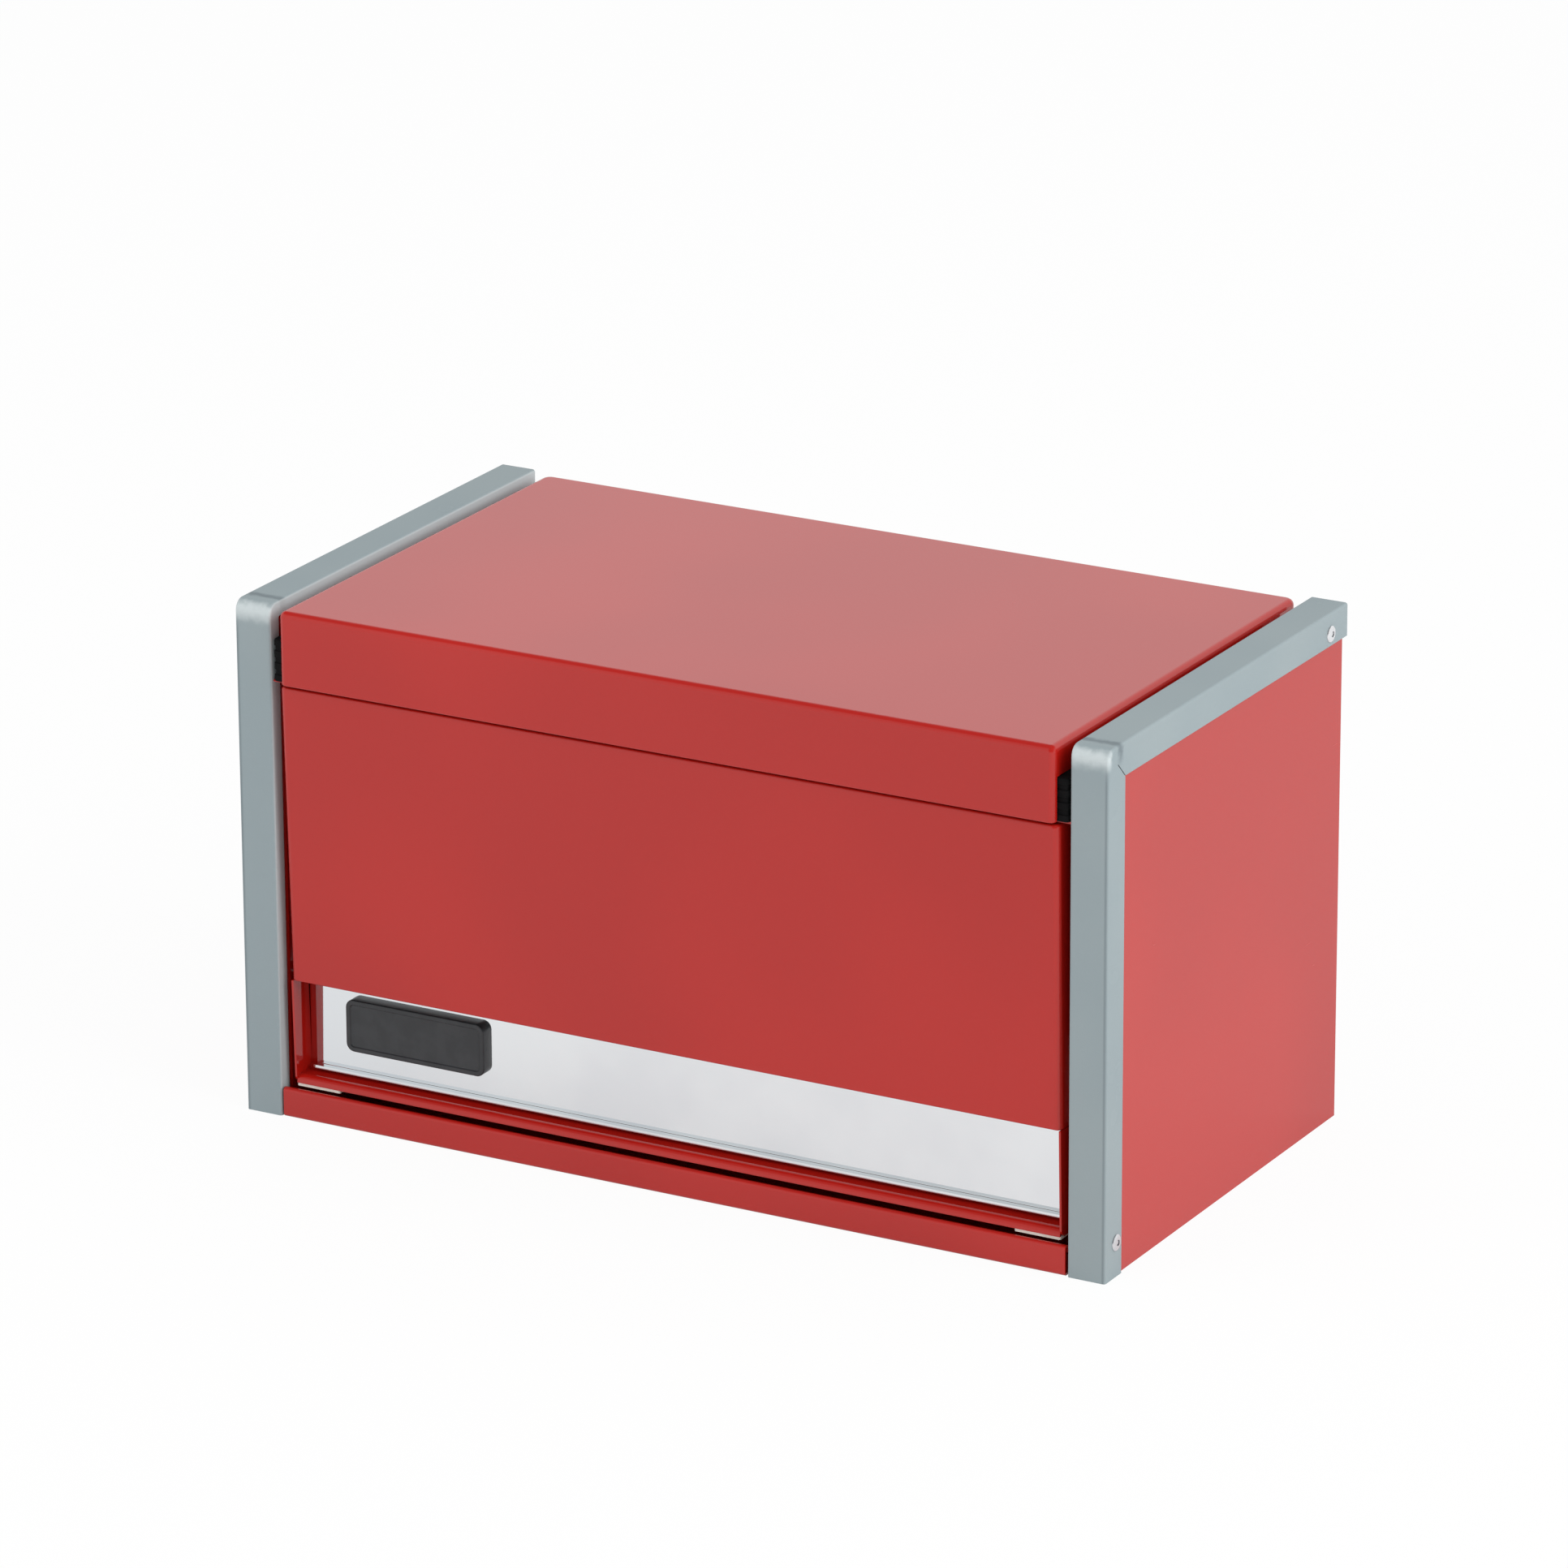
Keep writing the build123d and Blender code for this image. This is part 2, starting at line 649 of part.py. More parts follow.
def plate(x_low, x_high, z_low, z_high):
    """Rectangle between two corners of a section."""
    return Pos((x_low + x_high) / 2, (z_low + z_high) / 2) * Rectangle(x_high - x_low, z_high - z_low)


def both_halves(upper_half):
    """A section's upper half with its mirror image below."""
    return upper_half + mirror(upper_half, about=Plane.XZ)


def bored(section, heights):
    """Section with its ball tracks cleared."""
    for height in heights:
        for side in (-1, 1):
            section -= Pos(ball_line, side * height) * Circle(race_radius)
    return section


def rounded_at(section, x, z, radius):
    """Section with the corners at plus and minus a height rounded."""
    for side in (-1, 1):
        corner = section.vertices().sort_by_distance((x, side * z, 0))[0]
        section = fillet(corner, radius)
    return section


def cabinet_member_section():
    """Outer channel: web on the inner wall, races over the outer balls."""
    top = slide_height / 2
    half = plate(0, slide_sheet, 0, top)
    half += plate(0, ball_line, top - slide_sheet, top)
    half += ball_race(outer_balls, True)
    return rounded_at(bored(both_halves(half), [outer_balls]), 0, top, slide_bend)


def middle_member_section():
    """Middle channel: races under the outer balls and over the inner balls."""
    top = inner_balls + race_outside
    web = slide_sheet + slide_web_gap
    half = plate(web, web + slide_sheet, 0, top)
    half += plate(web, ball_line, top - slide_sheet, top)
    half += ball_race(outer_balls, False)
    half += ball_race(inner_balls, True)
    return rounded_at(bored(both_halves(half), [outer_balls, inner_balls]), web, top, slide_bend)


def drawer_member_section():
    """Inner channel: web on the drawer box, races under the inner balls."""
    top = inner_balls - race_radius
    half = plate(slide_thickness - slide_sheet, slide_thickness, 0, top)
    half += plate(ball_line, slide_thickness, top - slide_sheet, top)
    half += ball_race(inner_balls, False)
    section = bored(both_halves(half), [inner_balls])
    return rounded_at(section, slide_thickness, top, slide_bend)


def slide_member(section):
    """Left slide member along the whole slide."""
    member = along_y(section, slide_front, slide_front + slide_length)
    return Pos(wall_face, 0, slide_centre) * member


def slide_screw_cuts(x, direction):
    """Holes for the left slide's screws, from a face of a web or a sheet inwards."""
    radius = screw_diameter / 2 + rivet_clearance
    starts = [Vector(x - direction * past, place, slide_centre) for place in screw_centres()]
    return [rod(start, (direction, 0, 0), radius, wall_sheet + 2 * past) for start in starts]


def slide_cabinet_member():
    """Left cabinet member, screwed to the inner wall."""
    return slide_member(cabinet_member_section()) - slide_screw_cuts(wall_face + slide_sheet, -1)


def slide_middle_member():
    """Left middle member, carried by the balls."""
    return slide_member(middle_member_section())


def slide_drawer_member():
    """Left drawer member, screwed to the drawer box."""
    seat = wall_face + slide_thickness - slide_sheet
    return slide_member(drawer_member_section()) - slide_screw_cuts(seat, 1)


def slide_screw(seat, direction, place, grip):
    """Low-head screw seated on a web and pointing along X."""
    start = Vector(seat, place, slide_centre)
    head = rod(start, (-direction, 0, 0), screw_head / 2, screw_head_height)
    top_edge = head.edges().sort_by_distance(start - Vector(direction * screw_head_height, 0, 0))[0]
    head = chamfer(top_edge, screw_edge)
    shank = rod(start, (direction, 0, 0), screw_diameter / 2, grip)
    drive = rod(start - Vector(direction * screw_head_height, 0, 0), (direction, 0, 0),
                screw_drive / 2, screw_drive_depth)
    return head + shank - drive


def slide_cabinet_screws():
    """Screws through the cabinet members into the inner walls."""
    seat = wall_face + slide_sheet
    grip = slide_sheet + wall_sheet + screw_tail
    screws = [slide_screw(seat, -1, place, grip) for place in screw_centres()]
    return screws + [mirrored(one) for one in screws]


def slide_drawer_screws():
    """Screws through the drawer members into the drawer box."""
    seat = wall_face + slide_thickness - slide_sheet
    grip = slide_sheet + sheet + screw_tail
    screws = [slide_screw(seat, 1, place, grip) for place in screw_centres()]
    return screws + [mirrored(one) for one in screws]


def ball_places():
    """Places along Y of the balls in a row, at rest."""
    middle = slide_front + slide_length / 2
    return [middle + (index - (ball_count - 1) / 2) * ball_pitch for index in range(ball_count)]


def ball_cage(web, height):
    """Left cage: a strip folded to a channel, with a hole for each ball in both legs."""
    edge = ball_line + ball_diameter / 2 + cage_lip
    half = plate(web, web + cage_sheet, 0, height + cage_sheet / 2)
    half += plate(web, edge, height - cage_sheet / 2, height + cage_sheet / 2)
    reach = (ball_count - 1) / 2 * ball_pitch + cage_margin
    middle = slide_front + slide_length / 2
    cage = along_y(both_halves(half), middle - reach, middle + reach)
    for place in ball_places():
        cage -= rod(Vector(ball_line, place, -height - past), (0, 0, 1), race_radius, 2 * (height + past))
    return Pos(wall_face, 0, slide_centre) * cage


def balls(height):
    """Left balls of one cage, in an upper and a lower row."""
    spheres = []
    for place in ball_places():
        for side in (-1, 1):
            spheres.append(Pos(wall_face + ball_line, place, slide_centre + side * height)
                           * Sphere(ball_diameter / 2))
    return spheres


def outer_cage():
    """Cage between the cabinet member and the middle member."""
    return ball_cage(slide_sheet + screw_head_height + cage_gap, outer_balls)


def inner_cage():
    """Cage between the middle member and the drawer member."""
    return ball_cage(2 * slide_sheet + slide_web_gap + cage_gap, inner_balls)


# ---- the whole chest
def pieces():
    """Every node's name and its solids."""
    nodes = {
        "bottom_pan": bottom_pan(),
        "back_panel": back_panel(),
        "trim_rivets": trim_rivets(),
        "tray_floor": tray_floor(),
        "tray_liner": tray_liner(),
        "hinge_body_leaf": hinge_body_leaf(),
        "hinge_pin": hinge_pin(),
        "hinge_body_rivets": body_leaf_rivets(),
        "slide_cabinet_screws": slide_cabinet_screws(),
        "lid_pan": lid_pan(),
        "hinge_lid_leaf": hinge_lid_leaf(),
        "hinge_lid_rivets": lid_leaf_rivets(),
        "drawer_front_skin": drawer_front_skin(),
        "drawer_front_panel": drawer_front_panel(),
        "pull_strip": pull_strip(),
        "badge_plate": badge_plate(),
        "nylon_glides": nylon_glides(),
        "drawer_box": drawer_box(),
        "drawer_liner": drawer_liner(),
        "slide_drawer_screws": slide_drawer_screws(),
    }
    handed = {
        "side_panel": side_panel(),
        "inner_wall": inner_wall(),
        "side_trim": side_trim(),
        "lid_rest": lid_rest(),
        "slide_cabinet_member": slide_cabinet_member(),
        "slide_middle_member": slide_middle_member(),
        "slide_drawer_member": slide_drawer_member(),
        "outer_ball_cage": outer_cage(),
        "outer_balls": balls(outer_balls),
        "inner_ball_cage": inner_cage(),
        "inner_balls": balls(inner_balls),
    }
    for name, shape in handed.items():
        nodes["left_" + name] = shape
        if isinstance(shape, list):
            nodes["right_" + name] = [mirrored(one) for one in shape]
        else:
            nodes["right_" + name] = mirrored(shape)
    return nodes


def export(nodes):
    """One STEP file for each node."""
    os.makedirs("parts", exist_ok=True)
    for name, shape in nodes.items():
        whole = Compound(children=list(shape)) if isinstance(shape, list) else shape
        export_step(whole, "parts/" + name + ".step")


export(pieces())
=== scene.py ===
import json
import math

import bmesh
import bpy
from mathutils import Euler, Matrix, Vector


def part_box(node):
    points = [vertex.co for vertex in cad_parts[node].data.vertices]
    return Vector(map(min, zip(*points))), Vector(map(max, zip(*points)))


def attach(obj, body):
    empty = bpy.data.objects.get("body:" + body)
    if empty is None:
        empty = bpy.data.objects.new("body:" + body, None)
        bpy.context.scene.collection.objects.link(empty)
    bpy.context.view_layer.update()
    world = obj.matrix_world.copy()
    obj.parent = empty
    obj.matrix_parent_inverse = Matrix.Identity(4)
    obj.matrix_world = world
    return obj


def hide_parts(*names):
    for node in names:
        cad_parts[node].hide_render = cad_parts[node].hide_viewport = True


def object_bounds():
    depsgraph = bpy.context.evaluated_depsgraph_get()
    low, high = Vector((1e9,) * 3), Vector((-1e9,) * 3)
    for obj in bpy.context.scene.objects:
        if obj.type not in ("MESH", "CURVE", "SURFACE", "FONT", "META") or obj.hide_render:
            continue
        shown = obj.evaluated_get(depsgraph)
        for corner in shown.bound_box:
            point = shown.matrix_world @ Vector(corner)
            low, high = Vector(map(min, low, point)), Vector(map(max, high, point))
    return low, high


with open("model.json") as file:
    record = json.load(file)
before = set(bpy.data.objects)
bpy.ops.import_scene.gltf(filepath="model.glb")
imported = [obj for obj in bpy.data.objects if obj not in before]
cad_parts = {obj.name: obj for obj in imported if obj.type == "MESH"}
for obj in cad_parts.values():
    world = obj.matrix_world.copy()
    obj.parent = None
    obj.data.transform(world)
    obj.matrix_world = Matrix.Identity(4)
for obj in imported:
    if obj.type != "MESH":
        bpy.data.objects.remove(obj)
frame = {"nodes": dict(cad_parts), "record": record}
nodes = frame["nodes"]
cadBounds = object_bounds()
mm = 0.001
print("frame loaded:", len(nodes), "nodes")


# small helpers for colours and node trees
white = (1.0, 1.0, 1.0, 1.0)
evenly = (1.0, 1.0, 1.0)


def tone(red, green, blue):
    # a colour picked on screen, 0 to 255, as the linear colour that the shaders want
    def linear(part):
        share = part / 255
        if share < 0.04045:
            return share / 12.92
        return ((share + 0.055) / 1.055) ** 2.4
    return (linear(red), linear(green), linear(blue), 1.0)


class Wire:
    # one socket, so that shader maths reads as plain sums
    def __init__(self, recipe, socket):
        self.recipe = recipe
        self.socket = socket

    def maths(self, operation, first, second):
        return self.recipe.node("ShaderNodeMath", {"operation": operation}, {0: first, 1: second})

    def __add__(self, other):
        return self.maths("ADD", self, other)

    def __radd__(self, other):
        return self.maths("ADD", other, self)

    def __sub__(self, other):
        return self.maths("SUBTRACT", self, other)

    def __rsub__(self, other):
        return self.maths("SUBTRACT", other, self)

    def __mul__(self, other):
        return self.maths("MULTIPLY", self, other)

    def __rmul__(self, other):
        return self.maths("MULTIPLY", other, self)

    def __abs__(self):
        return self.maths("ABSOLUTE", self, 0.0)

    def most(self, other):
        return self.maths("MAXIMUM", self, other)


class Recipe:
    # a node tree that is written one node at a time
    def __init__(self, tree):
        self.tree = tree
        self.tree.nodes.clear()

    def node(self, kind, settings=None, values=None, output=0):
        made = self.tree.nodes.new(kind)
        for setting, value in (settings or {}).items():
            setattr(made, setting, value)
        for name, value in (values or {}).items():
            if isinstance(value, Wire):
                self.tree.links.new(value.socket, made.inputs[name])
            else:
                made.inputs[name].default_value = value
        return Wire(self, made.outputs[output]) if made.outputs else None

    def place(self, stretch, turn):
        here = self.node("ShaderNodeTexCoord", output="Object")
        values = {"Vector": here, "Scale": stretch, "Rotation": turn}
        return self.node("ShaderNodeMapping", None, values)

    def noise(self, width, detail=2.0, rough=0.5, stretch=evenly, turn=(0.0, 0.0, 0.0)):
        # width is that of one blotch, in metres
        values = {"Vector": self.place(stretch, turn), "Scale": 1 / width,
                  "Detail": detail, "Roughness": rough}
        return self.node("ShaderNodeTexNoise", None, values)

    def between(self, value, low, high):
        # 0 below low, 1 above high and a smooth step from one to the other
        settings = {"interpolation_type": "SMOOTHSTEP"}
        return self.node("ShaderNodeMapRange", settings, {0: value, 1: low, 2: high})

    def mix(self, factor, first, second):
        values = {0: factor, 6: first, 7: second}
        return self.node("ShaderNodeMix", {"data_type": "RGBA"}, values, 2)

    def bump(self, height, depth, over=None):
        values = {"Height": height, "Distance": depth, "Strength": 1.0}
        if over is not None:
            values["Normal"] = over
        return self.node("ShaderNodeBump", None, values)

    def axes(self):
        here = self.node("ShaderNodeTexCoord", output="Object")
        split = self.node("ShaderNodeSeparateXYZ", None, {0: here}).socket.node
        return [Wire(self, socket) for socket in split.outputs]

    def finish(self, values):
        surface = self.node("ShaderNodeBsdfPrincipled", None, values)
        self.node("ShaderNodeOutputMaterial", None, {"Surface": surface})


def newMaterial(name):
    material = bpy.data.materials.new(name)
    material.use_nodes = True
    return material, Recipe(material.node_tree)


# camera
cameraSet = {
    "place": (1.5502, -2.7680, 1.2370),
    "azimuth": 29.298,
    "elevation": 19.218,
    "roll": -0.266,
    "lens": 206.63,
    "sensor": 36.0,
}


def addCamera(size):
    lens = bpy.data.cameras.new("photoCamera")
    lens.lens = size["lens"]
    lens.sensor_width = size["sensor"]
    camera = bpy.data.objects.new("photoCamera", lens)
    bpy.context.scene.collection.objects.link(camera)
    aim = Euler((math.radians(90 - size["elevation"]), 0, math.radians(size["azimuth"])))
    roll = Matrix.Rotation(math.radians(size["roll"]), 4, "Z")
    camera.matrix_world = Matrix.Translation(size["place"]) @ aim.to_matrix().to_4x4() @ roll
    bpy.context.scene.camera = camera


addCamera(cameraSet)
print("camera placed")


# studio: pale floor, white surround and two soft lamps
studioSet = {
    "surround": 0.74,           # light that the surround throws on the object
    "backdrop": 1.0,            # how bright the surround itself looks
    "flags": 0.75,              # how much darker reflections find the ceiling and the camera's side
    "ceiling": (0.50, 0.85),    # where the dark ceiling starts and is full, as the rise of the ray
    "flagSide": (0.36, -0.76, 0.54),
    "flagReach": (0.55, 0.85),
    "floorSize": 14.0,
    "floorColour": (0.86, 0.86, 0.86, 1.0),
    "floorGlow": 0.94,          # share of plain white that the camera sees in the floor
    "floorMirrored": 0.50,      # and the share that reflections see
    "lamps": [
        {"name": "sideLamp", "place": (2.6, -0.3, 1.5), "width": 2.0, "power": 53.0},
        {"name": "frontLamp", "place": (-1.0, -1.6, 0.9), "width": 1.2, "power": 9.0},
    ],
}


def seenRays(recipe):
    # 1 for what the camera, a reflection or a glass sees, 0 for light on its way to a surface
    rays = recipe.node("ShaderNodeLightPath").socket.node.outputs
    camera = Wire(recipe, rays["Is Camera Ray"])
    seen = camera.most(Wire(recipe, rays["Is Glossy Ray"]))
    return seen.most(Wire(recipe, rays["Is Transmission Ray"])), camera


def flagged(recipe, size):
    # dark ceiling and a dark flag over the camera's side, which only reflections find
    heading = recipe.node("ShaderNodeTexCoord", output="Generated")

    def follows(side, reach):
        values = {0: heading, 1: side}
        share = recipe.node("ShaderNodeVectorMath", {"operation": "DOT_PRODUCT"}, values, 1)
        return recipe.between(share, *reach)

    ceiling = follows((0, 0, 1), size["ceiling"])
    return ceiling.most(follows(size["flagSide"], size["flagReach"])) * size["flags"]


def addWorld(size):
    world = bpy.data.worlds.new("studio")
    world.use_nodes = True
    bpy.context.scene.world = world
    recipe = Recipe(world.node_tree)
    seen, camera = seenRays(recipe)
    mirrored = size["backdrop"] * (1 - flagged(recipe, size) * (1 - camera))
    strength = seen * (mirrored - size["surround"]) + size["surround"]
    light = recipe.node("ShaderNodeBackground", None, {"Color": white, "Strength": strength})
    recipe.node("ShaderNodeOutputWorld", None, {"Surface": light})


def addFloor(size):
    bpy.ops.mesh.primitive_plane_add(size=size["floorSize"])
    floor = bpy.context.active_object
    floor.name = "floor"
    material, recipe = newMaterial("paleFloor")
    paper = recipe.node("ShaderNodeBsdfDiffuse", None, {"Color": size["floorColour"]})
    glow = recipe.node("ShaderNodeEmission", None, {"Color": white, "Strength": 1.0})
    seen, camera = seenRays(recipe)
    share = camera * (size["floorGlow"] - size["floorMirrored"]) + seen * size["floorMirrored"]
    shown = recipe.node("ShaderNodeMixShader", None, {0: share, 1: paper, 2: glow})
    recipe.node("ShaderNodeOutputMaterial", None, {"Surface": shown})
    floor.data.materials.append(material)


def addLamp(lamp, target):
    light = bpy.data.lights.new(lamp["name"], "AREA")
    light.size = lamp["width"]
    light.energy = lamp["power"]
    holder = bpy.data.objects.new(lamp["name"], light)
    bpy.context.scene.collection.objects.link(holder)
    holder.visible_glossy = False
    holder.location = lamp["place"]
    holder.rotation_euler = (target - holder.location).to_track_quat("-Z", "Y").to_euler()


addWorld(studioSet)
addFloor(studioSet)
chestMiddle = (cadBounds[0] + cadBounds[1]) / 2
for lamp in studioSet["lamps"]:
    addLamp(lamp, chestMiddle)
bpy.context.scene.view_settings.view_transform = "Standard"
print("studio lit")


# faint hairlines, shared by both paints
scuffSet = {
    "stretch": (1.0, 0.03, 1.0),    # long one way
    "lines": (0.70, 0.78),
    "patch": 40,                    # times the width of a hairline
    "patches": (0.52, 0.66),
}


def scuffs(recipe, size, width, turn):
    # 0 almost everywhere
    lines = recipe.noise(width, detail=3.0, rough=0.6, stretch=size["stretch"], turn=turn)
    patches = recipe.noise(width * size["patch"])
    return recipe.between(lines, *size["lines"]) * recipe.between(patches, *size["patches"])


# gloss red paint
redSet = {
    "colour": tone(178, 27, 19),
    "deep": tone(171, 24, 17),
    "worn": tone(190, 62, 54),
    "rough": 0.05,
    "roughCloud": 30 * mm,
    "roughSpread": 0.05,
    "peel": 2.6 * mm,
    "peelDepth": 0.004 * mm,
    "wave": 120 * mm,
    "waveDepth": 0.10 * mm,
    "waveTones": (0.35, 0.65),
    "speck": 0.9 * mm,
    "specks": (0.71, 0.78),
    "speckTone": 0.10,
    "speckRough": 0.12,
    "hair": (0.8 * mm, (0.4, 0.2, 0.9)),        # width and turn
    "crossHair": (0.7 * mm, (1.3, 0.8, 2.2)),
    "hairTone": 0.16,
    "hairRough": 0.22,
    "bend": 1.52,                               # index of refraction of the clear top
}


def redPaint(name, size):
    material, recipe = newMaterial(name)
    peel = recipe.noise(size["peel"])
    wave = recipe.noise(size["wave"], detail=1.0)
    speck = recipe.between(recipe.noise(size["speck"], detail=3.0, rough=0.7), *size["specks"])
    hair = scuffs(recipe, scuffSet, *size["hair"])
    hair = hair.most(scuffs(recipe, scuffSet, *size["crossHair"]))
    colour = recipe.mix(recipe.between(wave, *size["waveTones"]), size["deep"], size["colour"])
    marks = speck * size["speckTone"] + hair * size["hairTone"]
    colour = recipe.mix(marks, colour, size["worn"])
    rough = size["rough"] + recipe.noise(size["roughCloud"], detail=3.0) * size["roughSpread"]
    rough = rough + speck * size["speckRough"] + hair * size["hairRough"]
    bumped = recipe.bump(peel, size["peelDepth"], recipe.bump(wave, size["waveDepth"]))
    recipe.finish({"Base Color": colour, "Roughness": rough, "Normal": bumped,
                   "IOR": size["bend"]})
    return material


# satin grey paint of the trims
greySet = {
    "colour": tone(149, 160, 163),
    "deep": tone(144, 156, 160),
    "worn": tone(172, 179, 181),
    # painted highlight for the trim's corner and inner edge, and painted shade for its crease and
    # outer fold
    "paintedHighlight": tone(206, 214, 215),
    "paintedShade": tone(104, 114, 119),
    "cornerTop": 201.2 * mm,
    "cornerFront": -94.6 * mm,
    "cornerBack": -86.0 * mm,
    "cornerReach": 3.0 * mm,
    "foldLine": 0.9 * mm,       # how far the outer fold's line of painted shade lies inside the outer face
    "edgeHighlightWidth": 0.5 * mm,
    # strengths of the painted highlight and the painted shade
    "cornerHighlightTone": 0.75,
    "creaseShadeTone": 0.7,
    "foldShadeTone": 0.5,
    "edgeHighlightTone": 0.55,
    "rough": 0.22,
    "roughCloud": 25 * mm,
    "roughSpread": 0.08,
    "grain": 0.7 * mm,
    "grainDepth": 0.003 * mm,
    "wave": 60 * mm,
    "waveDepth": 0.05 * mm,
    "waveTones": (0.3, 0.7),
    "flake": 0.35 * mm,
    "flakes": (0.62, 0.72),
    "flakeTone": 0.14,
    "flakeShine": 0.08,
    "hair": (0.5 * mm, (0.9, 0.3, 0.5)),        # width and turn
    "hairTone": 0.25,
    "hairRough": 0.10,
    "specular": 0.01,
    "cornerCoat": 0.5,
    "coatRough": 0.12,
}


def pressedCorner(recipe, size):
    # 1 where the front corner of the trim is pressed round, and 1 in the crease behind it; the
    # first carries a painted highlight and the second painted shade
    across, along, height = recipe.axes()
    reach = size["cornerReach"]
    blur = recipe.noise(reach) * reach
    high = recipe.between(height + blur, size["cornerTop"] - 2 * reach, size["cornerTop"])
    front = 1 - recipe.between(along + blur, size["cornerFront"], size["cornerFront"] + reach)
    behind = recipe.between(abs(along + blur - size["cornerBack"]), 0.0, reach)
    return high * front, high * (1 - behind)


def paintedFoldLines(recipe, size):
    # painted shade along the outer fold of the front leg, and a painted highlight along its inner
    # edge
    low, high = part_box("right_side_trim")
    across, along, height = recipe.axes()
    legTop = size["cornerTop"] - size["cornerReach"]
    lower = 1 - recipe.between(height, legTop - 3 * size["cornerReach"], legTop)
    outer = abs(abs(across) - (high.x - size["foldLine"]))
    inner = abs(across) - low.x
    dull = lower * (1 - recipe.between(outer, 0.0, size["foldLine"]))
    return dull, 1 - recipe.between(inner, 0.0, size["edgeHighlightWidth"])


def greyPaint(name, size):
    material, recipe = newMaterial(name)
    rounded, creaseShade = pressedCorner(recipe, size)
    dull, edgeHighlight = paintedFoldLines(recipe, size)
    grain = recipe.noise(size["grain"], detail=3.0, rough=0.6)
    wave = recipe.noise(size["wave"], detail=1.0)
    hair = scuffs(recipe, scuffSet, *size["hair"])
    flake = recipe.between(recipe.noise(size["flake"], detail=1.0), *size["flakes"])
    colour = recipe.mix(recipe.between(wave, *size["waveTones"]), size["deep"], size["colour"])
    marks = flake * size["flakeTone"] + hair * size["hairTone"]
    colour = recipe.mix(marks, colour, size["worn"])
    # painted highlight on the pressed corner
    colour = recipe.mix(rounded * size["cornerHighlightTone"], colour, size["paintedHighlight"])
    # painted shade in the crease behind the corner and along the outer fold
    dark = (creaseShade * size["creaseShadeTone"]).most(dull * size["foldShadeTone"])
    colour = recipe.mix(dark, colour, size["paintedShade"])
    # painted highlight along the trim's inner edge
    colour = recipe.mix(edgeHighlight * size["edgeHighlightTone"], colour, size["paintedHighlight"])
    rough = size["rough"] + recipe.noise(size["roughCloud"], detail=3.0) * size["roughSpread"]
    rough = rough - flake * size["flakeShine"] + hair * size["hairRough"]
    bumped = recipe.bump(grain, size["grainDepth"], recipe.bump(wave, size["waveDepth"]))
    recipe.finish({"Base Color": colour, "Roughness": rough, "Normal": bumped,
                   "Specular IOR Level": size["specular"],
                   "Coat Weight": rounded * size["cornerCoat"],
                   "Coat Roughness": size["coatRough"]})
    return material


# polished strip behind the fingers
stripSet = {
    "colour": tone(232, 236, 238),
    "dull": tone(225, 229, 232),
    "rough": 0.03,
    "line": 0.5 * mm,
    "lineStretch": (0.01, 1.0, 1.0),    # brushed along the strip
    "lineDepth": 0.0015 * mm,
    "lineRough": 0.03,
    "blotch": 50 * mm,
    "blotchTones": (0.35, 0.7),
    "blotchRough": 0.03,
}


def stripMetal(name, size):
    material, recipe = newMaterial(name)
    lines = recipe.noise(size["line"], detail=3.0, rough=0.6, stretch=size["lineStretch"])
    blotch = recipe.noise(size["blotch"], detail=3.0)
    colour = recipe.mix(recipe.between(blotch, *size["blotchTones"]), size["dull"], size["colour"])
    rough = size["rough"] + lines * size["lineRough"] + blotch * size["blotchRough"]
    recipe.finish({"Base Color": colour, "Roughness": rough, "Metallic": 1.0,
                   "Normal": recipe.bump(lines, size["lineDepth"])})
    return material


# zinc plate of the hinge, the slides and their screws
zincSet = {
    "colour": tone(206, 209, 212),
    "cloud": tone(186, 190, 196),
    "smeared": tone(150, 152, 156),
    "rough": 0.26,
    "blotch": 7 * mm,
    "blotchTones": (0.35, 0.65),
    "blotchRough": 0.16,
    "line": 0.35 * mm,
    "lineStretch": (1.0, 0.03, 1.0),
    "lineDepth": 0.002 * mm,
    "smear": 22 * mm,
    "smears": (0.5, 0.75),
    "smearTone": 0.35,
    "smearRough": 0.12,
}


def zincPlate(name, size):
    material, recipe = newMaterial(name)
    blotch = recipe.noise(size["blotch"], detail=4.0, rough=0.6)
    lines = recipe.noise(size["line"], stretch=size["lineStretch"])
    smear = recipe.between(recipe.noise(size["smear"], detail=3.0), *size["smears"])
    colour = recipe.mix(recipe.between(blotch, *size["blotchTones"]), size["cloud"], size["colour"])
    colour = recipe.mix(smear * size["smearTone"], colour, size["smeared"])
    rough = size["rough"] + blotch * size["blotchRough"] + smear * size["smearRough"]
    recipe.finish({"Base Color": colour, "Roughness": rough, "Metallic": 1.0,
                   "Normal": recipe.bump(lines, size["lineDepth"])})
    return material


